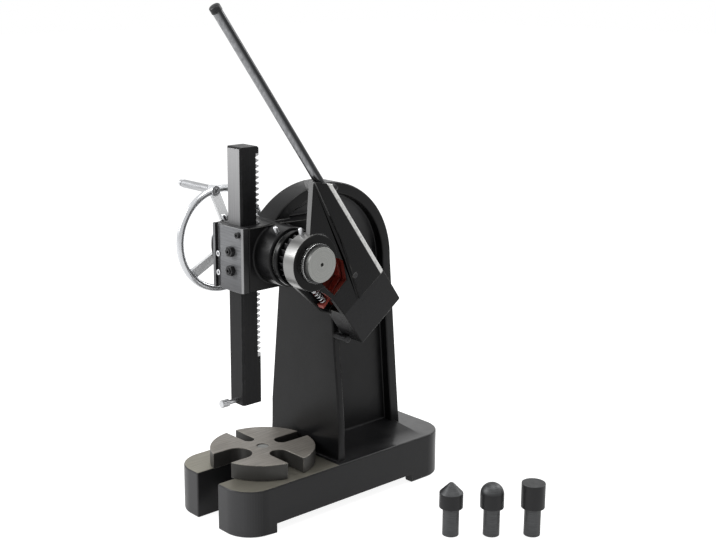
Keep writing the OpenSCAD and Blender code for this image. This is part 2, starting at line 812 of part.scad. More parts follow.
// Collar that keeps the lever on the shaft
module retaining_collar() {
    color("#9ea0a2") at_pinion() difference() {
        x_cyl(collar_x0, collar_x0 + collar_t, 2 * collar_r);
        x_cyl(collar_x0 - cut, collar_x0 + collar_t + cut, journal_d + 2 * seat_gap);
        rotate([lever_tilt, 0, 0]) translate([collar_x0 + collar_t / 2, 0, 0])
            cylinder(h = collar_r + cut, d = collar_screw_d + 2 * seat_gap);
    }
}

module collar_screw() {
    color("#55575a") at_lever() translate([collar_x0 + collar_t / 2, 0, journal_d / 2 - 1.5])
        cylinder(h = collar_r - journal_d / 2 + 1, d = collar_screw_d);
}

module grip_place() {
    rotate([spoke_lean, 0, 0]) translate([0, 0, rim_r]) children();
}

// Spindle through the rim, with a head outside the grip
module grip_spindle() {
    color("#b9bbbd") at_pinion() grip_place() {
        x_cyl(grip_x1 - 6, -wheel_x + rim_boss, spindle_d);
        x_cyl(grip_x1 - 6, grip_x1 - side_gap, spindle_d + 5);
    }
}

module crank_grip() {
    color("#d4d6d8") at_pinion() grip_place() difference() {
        union() {
            x_cyl(grip_x1, grip_x0, grip_d - 3);
            x_cyl(grip_x1 + 3, grip_x0 - 3, grip_d);
        }
        x_cyl(grip_x1 - cut, grip_x0 + cut, spindle_d + 2 * run_gap);
    }
}

// Ratchet lever and what it carries

// Point just inside the hub's outline
function hub_point(a) = (lever_hub_r - 2) * [cos(a), sin(a)];

// Outer cheek: hub, neck up to the rod and plate down to the block
module outer_cheek() {
    difference() {
        union() {
            circle(lever_hub_r);
            polygon([[-4, -lever_drop], [lever_back, -lever_drop], rear_top, neck_top,
                hub_point(66), [0, 0], hub_point(245), [-7, -80], [-4, block_top - 6]]);
        }
        pawl_window();
    }
}

// Opening in the outer cheek through which the pawl shows
module pawl_window() {
    difference() {
        polygon([[-12, -34], [0, -76], [34, -74], [48, -42], [34, -18], [0, 0]]);
        circle(hub_ring_r);
    }
}

// Inner cheek: hub and plate down to the block, without the neck
module inner_cheek() {
    circle(lever_hub_r);
    polygon([[-4, -lever_drop], [lever_back, -lever_drop], [lever_back, -20], hub_point(60), [0, 0],
        hub_point(222), [-18, block_top + 10], [-4, block_top - 12]]);
}

module lever_solid() {
    along_x(inner_cheek_x0, inner_cheek_x1) inner_cheek();
    along_x(outer_cheek_x0, plate_face) outer_cheek();
    along_x(outer_hub_x0, lever_face) difference() {
        circle(lever_hub_r);
        pawl_window();
    }
    along_x(spine_x0, plate_face) polygon([[spine_front, -lever_drop], [lever_back, -lever_drop],
        rear_top, neck_top, neck_top - [4, 14], [spine_front, 0]]);
    along_x(outer_cheek_x0, lever_face) polygon([[spine_front - 30, block_top], [lever_back, block_top],
        rear_top, neck_top, [spine_front - 2, -4]]);
    along_x(inner_cheek_x0, plate_face) {
        translate([-4, -lever_drop]) square([lever_back + 4, lever_drop + block_top]);
        translate([spine_front, -lever_drop]) square([lever_back - spine_front, lever_drop - 20]);
    }
}

// What the rounding of the rib's rear edge takes away
module rear_round() {
    r = lever_edge_r;
    translate([lever_face - r, lever_back - r, block_top]) linear_extrude(rear_top[1] - block_top + cut)
        difference() {
            square(r + cut);
            circle(r);
        }
}

module lever_body() {
    color("#28282a") at_lever() difference() {
        lever_solid();
        rear_round();
        x_cyl(inner_cheek_x0 - cut, lever_face + cut, journal_d + 2 * run_gap);
        translate([0, pawl_pivot[0], pawl_pivot[1]])
            x_cyl(inner_cheek_x0 - cut, lever_face + cut, pawl_pin_d + 2 * seat_gap);
        translate([rod_x, rod_y, rod_foot]) cylinder(h = rod_hold + lever_back, d = rod_d + 2 * seat_gap);
        rod_screw_place() y_cyl(rod_y, lever_back + cut, rod_screw_d + 2 * seat_gap);
        translate([0, spring_top[0], spring_top[1] + 9])
            x_cyl(inner_cheek_x0 - cut, inner_cheek_x1 + cut, seat_pin_d + 2 * seat_gap);
        oiler_place() cylinder(h = lever_hub_r + cut, d = oil_cup_d + 2 * seat_gap);
    }
}

module lever_rod() {
    color("#c3c5c8") at_lever() translate([rod_x, rod_y, rod_foot + 1])
        cylinder(h = rod_reach - rod_foot - 1, d = rod_d);
}

// Cap on the rod's end, with a domed top
module rod_cap() {
    bore_r = rod_d / 2 + seat_gap;
    r = bore_r + rod_cap_wall;
    inside = rod_cap_depth + seat_gap;
    dome = r / 3;
    color("#3a3b3d") at_lever() translate([rod_x, rod_y, rod_reach - rod_cap_depth]) rotate_extrude()
        polygon(concat([[bore_r, 0], [r, 0]],
            [for (a = [0:15:75]) [r * cos(a), inside + 1 + dome * sin(a)]],
            [[0, inside + 1 + dome], [0, inside], [bore_r, inside]]));
}

module rod_screw_place() {
    translate([rod_x, 0, rear_top[1] - 14]) children();
}

// Clamp screw that holds the rod in the lever
module rod_screw() {
    color("#1f2022") at_lever() rod_screw_place() difference() {
        union() {
            y_cyl(rod_y + rod_d / 2 + seat_gap, lever_back + 4, rod_screw_d);
            y_cyl(lever_back, lever_back + rod_screw_d, 1.6 * rod_screw_d);
        }
        y_hex(lever_back + rod_screw_d / 2, lever_back + rod_screw_d + cut, 0.7 * rod_screw_d);
    }
}

// The oiler on the hub stands upright while the lever rests
module oiler_place() {
    translate([(outer_hub_x0 + outer_cheek_x0) / 2, 0, 0]) rotate([15 - lever_tilt, 0, 0])
        translate([0, 0, journal_d / 2 + 4]) children();
}

module hub_oiler() {
    at_lever() oiler_place() translate([0, 0, -journal_d / 2 - 4])
        oil_cup(lever_hub_r, lever_hub_r - journal_d / 2 - 6);
}

module pawl_pin() {
    color("#2b2c2e") at_lever() translate([0, pawl_pivot[0], pawl_pivot[1]])
        x_cyl(inner_cheek_x0, lever_face, pawl_pin_d);
}

seat_pin_d = 8;
pawl_mid_x = (ratchet_x0 + ratchet_x1) / 2;

// Pin in the inner cheek that carries the upper end of the spring
module spring_seat() {
    color("#77797c") at_lever() translate([0, spring_top[0], spring_top[1] + 9]) {
        x_cyl(inner_cheek_x0, ratchet_x1 - 1, seat_pin_d);
        translate([pawl_mid_x, 0, -9 + seat_gap]) cylinder(h = 6, d = spring_d - 1);
    }
}

// Wire of the spring: rings of six points along a helix with straight ends
spring_len = norm(spring_foot - spring_top);
spring_sides = 6;
spring_rings = 8;
spring_coil_r = (spring_d - spring_wire_d) / 2;
spring_rise = spring_len - 2 * spring_wire_d - 2 * seat_gap;
function spring_point(i) = let (
    last = spring_curls * spring_rings,
    k = min(max(i - 1, 0), last),
    a = 360 * k / spring_rings,
    run = i == 0 ? -spring_wire_d : (i == last + 2 ? spring_wire_d : 0),
    lead = spring_wire_d + seat_gap + spring_rise * k / last)
    [spring_coil_r * cos(a) - run * sin(a), spring_coil_r * sin(a) + run * cos(a), lead];
spring_path = [for (i = [0:spring_curls * spring_rings + 2]) spring_point(i)];

function ring_at(path, i) = let (
    ahead = path[min(i + 1, len(path) - 1)] - path[max(i - 1, 0)],
    t = ahead / norm(ahead),
    side = cross(t, abs(t[2]) > 0.9 ? [1, 0, 0] : [0, 0, 1]),
    n = side / norm(side),
    b = cross(t, n))
    [for (s = [0:spring_sides - 1]) let (a = 360 * s / spring_sides)
        path[i] + spring_wire_d / 2 * (cos(a) * n + sin(a) * b)];

// Triangles that join one ring of points to the next
function tube_faces(rings, sides) = concat(
    [for (r = [0:rings - 2], s = [0:sides - 1]) let (s1 = (s + 1) % sides, a = r * sides, b = a + sides)
        each [[a + s, b + s, b + s1], [a + s, b + s1, a + s1]]],
    [for (s = [1:sides - 2]) [0, s, s + 1]],
    [for (s = [1:sides - 2]) let (e = (rings - 1) * sides) [e, e + s + 1, e + s]]);

// Least gap between parts of the wire that are at least half a curl apart
spring_self_gap = min([for (i = [0:len(spring_path) - 1], j = [i + spring_rings / 2:len(spring_path) - 1])
    norm(spring_path[i] - spring_path[j])]) - spring_wire_d;
echo(spring_self_gap = spring_self_gap);

module pawl_spring() {
    lean = atan2(spring_foot[0] - spring_top[0], spring_top[1] - spring_foot[1]);
    points = [for (i = [0:len(spring_path) - 1]) each ring_at(spring_path, i)];
    color("#c9cbce") at_lever() translate([pawl_mid_x, spring_foot[0], spring_foot[1]])
        rotate([lean, 0, 0]) polyhedron(points, tube_faces(len(spring_path), spring_sides));
}

// Arm of the pawl, drawn as it sits in a tooth
module pawl_arm() {
    a = pawl_face_angle;
    along = [cos(a), sin(a)];
    under = [sin(a), -cos(a)];
    inner = ratchet_r - ratchet_tooth_h + 1.6;
    tip = inner * along + pawl_play * under;
    heel = (ratchet_r + 6) * along + pawl_play * under;
    step = 360 / ratchet_teeth;
    foot = (ratchet_r + 1.2) * [cos(a - step + 1), sin(a - step + 1)];
    polygon([tip, heel, pawl_pivot + [pawl_boss_r - 1, -2], pawl_pivot + [2 - pawl_boss_r, -2],
        [ratchet_r + 3, -26], foot]);
}

// Tail of the pawl, on which the spring presses
module pawl_tail() {
    polygon([pawl_pivot + [1, 1 - pawl_boss_r], pawl_pivot + [-1, 1],
        tail_end + [2, tail_h], tail_end + [-tail_h, tail_h], tail_end + [-tail_h, 0]]);
}

// End of the pawl's tail while the pawl sits in a tooth, below the lifted tail
tail_h = 7;
tail_lift = (pawl_pivot[0] - spring_foot[0]) * sin(pawl_lift);
tail_end = [spring_foot[0], spring_foot[1] - tail_h - tail_lift - side_gap];

// The pawl is held turned out of the ratchet about its pin
module pawl() {
    x0 = ratchet_x0 + 0.5;
    x1 = ratchet_x1 - 0.5;
    color("#8c2f27") at_lever() translate([0, pawl_pivot[0], pawl_pivot[1]]) rotate([-pawl_lift, 0, 0])
        difference() {
            union() {
                x_cyl(x0, x1, 2 * pawl_boss_r);
                translate([0, -pawl_pivot[0], -pawl_pivot[1]]) {
                    along_x(x0, x1) pawl_arm();
                    along_x(x0, x1) pawl_tail();
                }
            }
            x_cyl(x0 - cut, x1 + cut, pawl_pin_d + 2 * run_gap);
        }
}

// Pressing tips, standing in a row beside the base

module tip_place(k) {
    translate([tips_x + k * tip_pitch * cos(49), tips_y + k * tip_pitch * sin(49), 0]) children();
}

// Shank and the straight part of the head, up to a height
module tip_body(head_top) {
    cylinder(h = tip_shank_len + cut, d = tip_shank_d);
    translate([0, 0, tip_shank_len]) cylinder(h = head_top - tip_shank_len, d = tip_head_d);
}

module pointed_tip() {
    shoulder = tip_len - tip_point_h;
    color("#3d3f42") tip_place(-1) {
        tip_body(shoulder);
        translate([0, 0, shoulder]) cylinder(h = tip_point_h, d1 = tip_head_d, d2 = tip_head_d / 6);
    }
}

module round_tip() {
    shoulder = tip_len - tip_head_d / 2;
    color("#3d3f42") tip_place(0) {
        tip_body(shoulder);
        translate([0, 0, shoulder]) sphere(d = tip_head_d);
    }
}

module flat_tip() {
    color("#3d3f42") tip_place(1) tip_body(tip_len);
}

base_feet();
base_casting();
frame_casting();
front_cover();
cover_screws();
gib_strip();
gib_screws();
gib_nuts();
cover_bolt();
bush_right();
bush_left();
oil_cups();
lever_stop();
anvil_pin();
thrust_washer();
anvil_plate();
ram();
ram_thumbscrew();
pinion_shaft();
ratchet_wheel();
ratchet_key();
handwheel();
wheel_key();
wheel_washer();
wheel_screw();
retaining_collar();
collar_screw();
grip_spindle();
crank_grip();
lever_body();
lever_rod();
rod_cap();
rod_screw();
hub_oiler();
pawl_pin();
spring_seat();
pawl_spring();
pawl();
pointed_tip();
round_tip();
flat_tip();
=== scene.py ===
# %% [markdown]
# # A ratchet arbor press, dressed in Blender
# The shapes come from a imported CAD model. This lesson loads it as a fixed frame, sets the camera
# and the studio, mixes the finishes from nodes, and then softens and details each piece.

# %% Load the frame
import json
import math

import bmesh
import bpy
from mathutils import Matrix, Vector
from mathutils.bvhtree import BVHTree


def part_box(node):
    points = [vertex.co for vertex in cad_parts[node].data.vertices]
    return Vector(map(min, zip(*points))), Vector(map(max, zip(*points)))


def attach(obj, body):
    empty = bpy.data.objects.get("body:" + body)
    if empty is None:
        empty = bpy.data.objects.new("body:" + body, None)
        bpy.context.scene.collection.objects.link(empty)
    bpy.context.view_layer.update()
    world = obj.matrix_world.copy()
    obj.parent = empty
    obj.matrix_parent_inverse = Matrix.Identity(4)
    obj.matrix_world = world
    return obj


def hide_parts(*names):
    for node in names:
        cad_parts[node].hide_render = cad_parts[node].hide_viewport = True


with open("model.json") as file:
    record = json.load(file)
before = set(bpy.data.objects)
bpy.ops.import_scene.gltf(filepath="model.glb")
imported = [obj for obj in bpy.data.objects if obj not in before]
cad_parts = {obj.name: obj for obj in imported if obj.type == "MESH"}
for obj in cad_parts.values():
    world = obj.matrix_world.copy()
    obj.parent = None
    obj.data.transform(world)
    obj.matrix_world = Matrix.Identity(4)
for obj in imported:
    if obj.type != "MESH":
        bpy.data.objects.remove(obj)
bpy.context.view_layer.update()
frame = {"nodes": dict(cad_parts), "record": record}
scene = bpy.context.scene

# %% [markdown]
# ## Camera
# The photograph looks at the press from its front right, a little from above. The place and lens
# were found by matching straight edges of the casting, so the picture and the render line up.
# A lens shift moves the picture in its frame without turning the camera.

# %% Camera
CAMERA_AT = Vector((1.6244, -1.2464, 0.9294))
AZIMUTH, PITCH = math.radians(49.0), math.radians(12.9)
SENSOR_WIDTH, LENS = 36.0, 63.33
SHIFT_X, SHIFT_Y = 0.0547, -0.0247
look = Vector((-math.sin(AZIMUTH) * math.cos(PITCH),
               math.cos(AZIMUTH) * math.cos(PITCH),
               -math.sin(PITCH)))
eye = bpy.data.cameras.new("studio_camera")
eye.sensor_width, eye.lens = SENSOR_WIDTH, LENS
eye.shift_x, eye.shift_y = SHIFT_X, SHIFT_Y
camera = bpy.data.objects.new("studio_camera", eye)
camera.location = CAMERA_AT
camera.rotation_euler = look.to_track_quat("-Z", "Y").to_euler()
scene.collection.objects.link(camera)
scene.camera = camera
scene.view_settings.view_transform = "Standard"
print("camera looks along", [round(c, 3) for c in look])

# %% [markdown]
# ## Studio
# The press stands on a white floor in a white room. The room is seen as white by the camera and
# by shiny metal, but it lights the press only softly. Three large lamps do the rest: a key lamp
# at the front left, one above and a weak one behind. The floor still darkens under the base.


# %% Nodes made short
def add(tree, kind, **values):
    """A node of that kind, with its inputs and settings given by name."""
    node = tree.nodes.new("ShaderNode" + kind)
    for key, value in values.items():
        if key in node.inputs:
            node.inputs[key].default_value = value
        else:
            setattr(node, key, value)
    return node


def plug(tree, value, socket):
    """Links a node's output to the socket, or sets the socket to a plain value."""
    if hasattr(value, "is_linked"):
        tree.links.new(value, socket)
    else:
        socket.default_value = value


def math_node(tree, operation, *values):
    """The result of one operation on numbers."""
    node = add(tree, "Math", operation=operation)
    for value, socket in zip(values, node.inputs):
        plug(tree, value, socket)
    return node.outputs[0]


def vector_node(tree, operation, *values):
    """The result of one operation on vectors, which is a number for some of them."""
    node = add(tree, "VectorMath", operation=operation)
    for value, socket in zip(values, node.inputs):
        plug(tree, value, socket)
    return node.outputs["Value" if operation in ("DOT_PRODUCT", "LENGTH", "DISTANCE") else "Vector"]


def ramp(tree, value, low, high, to_low=0.0, to_high=1.0):
    """Carries low..high over to to_low..to_high, and stays there outside."""
    node = add(tree, "MapRange", clamp=True)
    node.inputs["From Min"].default_value = low
    node.inputs["From Max"].default_value = high
    node.inputs["To Min"].default_value = to_low
    node.inputs["To Max"].default_value = to_high
    tree.links.new(value, node.inputs["Value"])
    return node.outputs[0]


def seen_white(tree):
    """1 for rays that should see the white room: camera, glossy and transmission rays."""
    path = add(tree, "LightPath")
    seen = math_node(tree, "MAXIMUM", path.outputs["Is Camera Ray"], path.outputs["Is Glossy Ray"])
    return math_node(tree, "MAXIMUM", seen, path.outputs["Is Transmission Ray"])


def grey(level):
    """A linear grey."""
    return (level, level, level, 1.0)


def make_object(shape, name):
    """An object in the scene from a bmesh, which is used up."""
    mesh = bpy.data.meshes.new(name)
    shape.to_mesh(mesh)
    shape.free()
    item = bpy.data.objects.new(name, mesh)
    scene.collection.objects.link(item)
    return item


# %% Room
ROOM_LIGHT = 0.50
world = bpy.data.worlds.new("white_room")
scene.world = world
world.use_nodes = True
room = world.node_tree
room.nodes.clear()
room_out = add(room, "OutputWorld")
room_colour = add(room, "Background", Color=grey(1.0))
room.links.new(ramp(room, seen_white(room), 0.0, 1.0, ROOM_LIGHT, 1.0), room_colour.inputs["Strength"])
room.links.new(room_colour.outputs[0], room_out.inputs["Surface"])
print("room lights with", ROOM_LIGHT)

# %% Floor
FLOOR_HALF, FLOOR_DROP = 14.0, 0.0004
FLOOR_BOUNCE, FLOOR_SHADE, FLOOR_GLOW = 0.80, 0.36, 0.90
floor_mat = bpy.data.materials.new("floor_white")
floor_mat.use_nodes = True
tree = floor_mat.node_tree
tree.nodes.clear()
out = add(tree, "OutputMaterial")
plain = add(tree, "BsdfDiffuse", Color=grey(FLOOR_BOUNCE))
shade = add(tree, "BsdfDiffuse", Color=grey(FLOOR_SHADE))
glow = add(tree, "Emission", Color=grey(1.0), Strength=FLOOR_GLOW)
both = add(tree, "AddShader")
tree.links.new(shade.outputs[0], both.inputs[0])
tree.links.new(glow.outputs[0], both.inputs[1])
pick = add(tree, "MixShader")
tree.links.new(seen_white(tree), pick.inputs[0])
tree.links.new(plain.outputs[0], pick.inputs[1])
tree.links.new(both.outputs[0], pick.inputs[2])
tree.links.new(pick.outputs[0], out.inputs["Surface"])

sheet = bmesh.new()
bmesh.ops.create_grid(sheet, x_segments=1, y_segments=1, size=FLOOR_HALF)
bmesh.ops.translate(sheet, verts=sheet.verts, vec=(0.0, 0.0, -FLOOR_DROP))
floor = make_object(sheet, "studio_floor")
floor.data.materials.append(floor_mat)
print("floor", 2 * FLOOR_HALF, "m wide")

# %% Lamps
HEART = Vector((0.0, 0.1, 0.4))


def lamp(name, place, size, power):
    """A square lamp that points at the middle of the press."""
    light = bpy.data.lights.new(name, "AREA")
    light.shape = "RECTANGLE"
    light.size = light.size_y = size
    light.energy = power
    item = bpy.data.objects.new(name, light)
    item.location = place
    item.rotation_euler = (HEART - Vector(place)).to_track_quat("-Z", "Y").to_euler()
    scene.collection.objects.link(item)
    print(name, power, "W")


lamp("key_lamp", place=(-1.7, -2.3, 2.1), size=1.5, power=105.0)
lamp("top_lamp", place=(0.4, 0.5, 3.0), size=1.4, power=45.0)
lamp("back_lamp", place=(0.6, 2.8, 1.9), size=1.2, power=36.0)

# %% [markdown]
# ## Effects that the finishes share
# Each effect is a node group, so that a change to it reaches every finish. The first finds worn
# edges: the Bevel node bends the normal near an edge, and where it differs from the true normal
# there is an edge. The others give cast skin, grinding lines, turning rings and smudges.


# %% Group helpers
def new_group(name, inputs, outputs):
    """A node group with its sockets, and the nodes that stand for its inputs and outputs."""
    group = bpy.data.node_groups.new(name, "ShaderNodeTree")
    for label, kind, value in inputs:
        socket = group.interface.new_socket(name=label, in_out="INPUT", socket_type="NodeSocket" + kind)
        socket.default_value = value
    for label, kind in outputs:
        group.interface.new_socket(name=label, in_out="OUTPUT", socket_type="NodeSocket" + kind)
    return group, group.nodes.new("NodeGroupInput"), group.nodes.new("NodeGroupOutput")


def object_spot(tree):
    """Object coordinates, which ride with the piece."""
    return add(tree, "TexCoord").outputs["Object"]


def object_noise(tree, scale, detail=2.0, rough=0.5, vector=None):
    """Noise in object coordinates, or along another vector."""
    node = add(tree, "TexNoise", Detail=detail, Roughness=rough, Scale=scale)
    tree.links.new(object_spot(tree) if vector is None else vector, node.inputs["Vector"])
    return node.outputs["Fac"]


# %% Edge wear
WEAR_RADIUS = 0.0022
edge_wear, given, result = new_group(
    "edge_wear", [("Breakup", "Float", 70.0), ("Amount", "Float", 1.0)], [("Mask", "Float")])
rounded = add(edge_wear, "Bevel", samples=4, Radius=WEAR_RADIUS)
true_normal = add(edge_wear, "NewGeometry").outputs["Normal"]
agree = vector_node(edge_wear, "DOT_PRODUCT", rounded.outputs[0], true_normal)
edge = ramp(edge_wear, math_node(edge_wear, "SUBTRACT", 1.0, agree), 0.01, 0.12)
chips = add(edge_wear, "TexNoise", Detail=3.0)
edge_wear.links.new(object_spot(edge_wear), chips.inputs["Vector"])
edge_wear.links.new(given.outputs["Breakup"], chips.inputs["Scale"])
broken = ramp(edge_wear, chips.outputs["Fac"], 0.42, 0.66)
worn = math_node(edge_wear, "MULTIPLY", edge, broken)
worn = math_node(edge_wear, "MULTIPLY", worn, given.outputs["Amount"])
edge_wear.links.new(worn, result.inputs["Mask"])

# %% Cast skin
FINE_SHARE, COARSE_SHARE = 0.6, 0.8
cast_skin, given, result = new_group(
    "cast_skin", [("Depth", "Float", 1.0)], [("Height", "Float"), ("Mottle", "Float")])
fine = math_node(cast_skin, "MULTIPLY", object_noise(cast_skin, 520.0, 3.0, 0.6), FINE_SHARE)
coarse = math_node(cast_skin, "MULTIPLY", object_noise(cast_skin, 95.0), COARSE_SHARE)
height = math_node(cast_skin, "ADD", fine, coarse)
height = math_node(cast_skin, "MULTIPLY", height, given.outputs["Depth"])
mottle = ramp(cast_skin, object_noise(cast_skin, 16.0, 4.0, 0.6), 0.32, 0.68)
cast_skin.links.new(height, result.inputs["Height"])
cast_skin.links.new(mottle, result.inputs["Mottle"])

# %% Grinding lines
ground, given, result = new_group(
    "grinding_lines", [("Stretch", "Vector", (900.0, 900.0, 14.0))], [("Streak", "Float")])
stretched = vector_node(ground, "MULTIPLY", object_spot(ground), given.outputs["Stretch"])
ground.links.new(object_noise(ground, 1.0, 3.0, 0.6, stretched), result.inputs["Streak"])

# %% Turning rings
turned, given, result = new_group(
    "turning_rings",
    [("Centre", "Vector", (0.0, 0.0, 0.0)), ("Across", "Vector", (0.0, 1.0, 1.0)),
     ("Rings", "Float", 1400.0)],
    [("Ring", "Float")])
offset = vector_node(turned, "SUBTRACT", object_spot(turned), given.outputs["Centre"])
flat = vector_node(turned, "MULTIPLY", offset, given.outputs["Across"])
radius = vector_node(turned, "LENGTH", flat)
spread = add(turned, "TexNoise", noise_dimensions="1D", Detail=2.0)
turned.links.new(math_node(turned, "MULTIPLY", radius, given.outputs["Rings"]), spread.inputs["W"])
spread.inputs["Scale"].default_value = 1.0
turned.links.new(spread.outputs["Fac"], result.inputs["Ring"])

# %% Smudges
smudges, given, result = new_group("smudges", [("Scale", "Float", 22.0)], [("Mask", "Float")])
wipe = add(smudges, "TexNoise", Detail=5.0, Roughness=0.65, Distortion=0.8)
smudges.links.new(object_spot(smudges), wipe.inputs["Vector"])
smudges.links.new(given.outputs["Scale"], wipe.inputs["Scale"])
smudges.links.new(ramp(smudges, wipe.outputs["Fac"], 0.35, 0.7), result.inputs["Mask"])
print("effects", [g.name for g in bpy.data.node_groups])

# %% [markdown]
# ## Finishes
# A finish starts from a Principled shader with its constants on its own sockets. Colour,
# roughness and bump then come from the groups. `Finish` keeps the node tree and the last colour,
# roughness and height at hand, so a finish reads like a recipe: base, mottle, lines, wear.
#
# Where a finish changes from place to place, a mask says where. `above`, `below` and `between`
# make a mask from a position or a facing direction, and `all_of` joins masks.

# %% Places that the finishes ask for
PINION = Vector((0.0, 0.0403, 0.461))
HEAD_CENTRE, HEAD_RADIUS = Vector((0.0, 0.163, 0.409)), 0.155
COLUMN_FRONT = 0.1315
BASE_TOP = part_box("base_casting")[1].z
MOSTLY = (0.80, 0.95)
SQUARELY = (0.90, 0.97)
WORN_ROUGH, WORN_METAL = 0.32, 0.7
print("base top", round(BASE_TOP, 4))


# %% Finish recipes
def tone(red, green, blue):
    """A screen colour of 0 to 255 as the linear colour that Blender works with."""
    def linear(c):
        c = c / 255.0
        return c / 12.92 if c <= 0.04045 else ((c + 0.055) / 1.055) ** 2.4
    return (linear(red), linear(green), linear(blue), 1.0)


class Finish:
    """A material, and the steps that build it up."""

    def __init__(self, name, colour, rough, metal=0.0, specular=0.5):
        self.material = bpy.data.materials.new(name)
        self.material.use_nodes = True
        self.tree = self.material.node_tree
        self.tree.nodes.clear()
        self.shader = add(self.tree, "BsdfPrincipled", Metallic=metal, Roughness=rough)
        self.shader.inputs["Base Color"].default_value = colour
        self.shader.inputs["Specular IOR Level"].default_value = specular
        end = add(self.tree, "OutputMaterial")
        self.tree.links.new(self.shader.outputs[0], end.inputs["Surface"])
        self.material.diffuse_color = colour
        self.colour, self.rough, self.metal, self.height = colour, rough, metal, None

    def group(self, tree, **values):
        """One of the shared effects, with its own settings."""
        node = add(self.tree, "Group", node_tree=tree)
        for key, value in values.items():
            node.inputs[key].default_value = value
        return node.outputs

    def feed(self, socket, value):
        """Links a node's output to the shader."""
        self.tree.links.new(value, self.shader.inputs[socket])

    def mix(self, first, second, share):
        """A colour between two others."""
        node = add(self.tree, "Mix", data_type="RGBA")
        self.tree.links.new(share, node.inputs["Factor"])
        plug(self.tree, first, node.inputs[6])
        plug(self.tree, second, node.inputs[7])
        return node.outputs[2]

    def blend_colour(self, mask, colour):
        """Lays another colour over the last one where the mask is 1."""
        self.colour = self.mix(self.colour, colour, mask)
        self.feed("Base Color", self.colour)

    def blend_value(self, which, mask, value):
        """Lays another roughness or metallic value over the last one where the mask is 1."""
        node = add(self.tree, "Mix", data_type="FLOAT")
        self.tree.links.new(mask, node.inputs["Factor"])
        plug(self.tree, getattr(self, which), node.inputs[2])
        plug(self.tree, value, node.inputs[3])
        setattr(self, which, node.outputs[0])
        self.feed({"rough": "Roughness", "metal": "Metallic"}[which], node.outputs[0])

    def bump(self, height, distance):
        """Raises the surface a little, on top of earlier bumps."""
        node = add(self.tree, "Bump", Strength=1.0, Distance=distance)
        self.tree.links.new(height, node.inputs["Height"])
        if self.height is not None:
            self.tree.links.new(self.height, node.inputs["Normal"])
        self.height = node.outputs[0]
        self.feed("Normal", self.height)

    def skin(self, depth, light):
        """Cast skin with a mottled paint."""
        cast = self.group(cast_skin)
        self.bump(cast["Height"], depth)
        self.blend_colour(cast["Mottle"], light)

    def lines(self, stretch, light, depth=0.00002):
        """Straight grinding lines."""
        streak = self.group(ground, Stretch=stretch)["Streak"]
        self.blend_colour(ramp(self.tree, streak, 0.35, 0.7), light)
        self.bump(streak, depth)

    def rings(self, light, count):
        """Rings round the pinion's axis, as a lathe leaves them."""
        ring = self.group(turned, Centre=PINION, Rings=count)["Ring"]
        self.blend_colour(ramp(self.tree, ring, 0.35, 0.68), light)
        self.bump(ring, 0.00002)

    def smudge(self, rough, scale=22.0):
        """Patches of another roughness."""
        self.blend_value("rough", self.group(smudges, Scale=scale)["Mask"], rough)

    def wear(self, colour, amount, breakup=70.0):
        """Bare metal on the edges."""
        mask = self.group(edge_wear, Breakup=breakup, Amount=amount)["Mask"]
        self.blend_colour(mask, colour)
        self.blend_value("rough", mask, WORN_ROUGH)
        self.blend_value("metal", mask, WORN_METAL)

    def place(self):
        """Object coordinates and the true normal, as separate numbers."""
        spot = add(self.tree, "SeparateXYZ")
        self.tree.links.new(object_spot(self.tree), spot.inputs[0])
        facing = add(self.tree, "SeparateXYZ")
        self.tree.links.new(add(self.tree, "NewGeometry").outputs["True Normal"], facing.inputs[0])
        return spot.outputs, facing.outputs

    def reach(self, spot, centre):
        """Distance from the line along X through the centre."""
        flat_spot = add(self.tree, "CombineXYZ")
        self.tree.links.new(spot["Y"], flat_spot.inputs["Y"])
        self.tree.links.new(spot["Z"], flat_spot.inputs["Z"])
        return vector_node(self.tree, "DISTANCE", flat_spot.outputs[0], (0.0, centre.y, centre.z))

    def above(self, value, low, high):
        """A mask that grows from 0 at low to 1 at high."""
        return ramp(self.tree, value, low, high)

    def below(self, value, low, high):
        """A mask that falls from 1 at low to 0 at high."""
        return ramp(self.tree, value, low, high, 1.0, 0.0)

    def between(self, value, low, high, soft):
        """A mask that is 1 between low and high, with soft borders."""
        return self.all_of(self.above(value, low - soft, low + soft),
                           self.below(value, high - soft, high + soft))

    def all_of(self, *masks):
        """1 where all the masks are 1."""
        total = masks[0]
        for mask in masks[1:]:
            total = math_node(self.tree, "MULTIPLY", total, mask)
        return total


# %% [markdown]
# ### Black paint on the castings
# The casting wears satin black paint over a sanded skin. It is a little greyer on the base, and
# the base's front faces and the web under the head are painted lighter as painted light. The head's
# rim is painted darkest as painted shade. The two prongs in front are machined on top and left
# bare, so the finish asks where it is: high on the base, in front of the column, and facing up.
# Their tops grow darker towards the right. Behind them the base's top is varnished.

# %% Black paint
BASE_BLEND = 0.004
WEB_FACE, WEB_FROM, WEB_TO = 0.012, 0.43, 0.51
RIM_WIDTH, RIM_BLEND = 0.024, 0.006
casting = Finish("casting_paint", tone(12, 12, 13), 0.28, specular=0.15)
casting.skin(0.00010, tone(18, 18, 19))
spot, facing = casting.place()
on_base = casting.below(spot["Z"], BASE_TOP - BASE_BLEND, BASE_TOP + BASE_BLEND)
casting.blend_colour(on_base, tone(31, 31, 32))
# Painted light: the base's front faces are painted lighter, where the key lamp falls on them.
base_front_painted_light = casting.all_of(on_base, casting.below(facing["Y"], -0.8, -0.2))
casting.blend_colour(base_front_painted_light, tone(60, 60, 61))
# Painted light: the web under the head is painted lighter, though it stands in shade.
web_painted_light = casting.all_of(
    casting.above(facing["X"], *MOSTLY),
    casting.below(spot["X"], WEB_FACE - 0.002, WEB_FACE),
    casting.above(spot["Z"], WEB_FROM, WEB_TO))
casting.blend_colour(web_painted_light, tone(60, 60, 61))
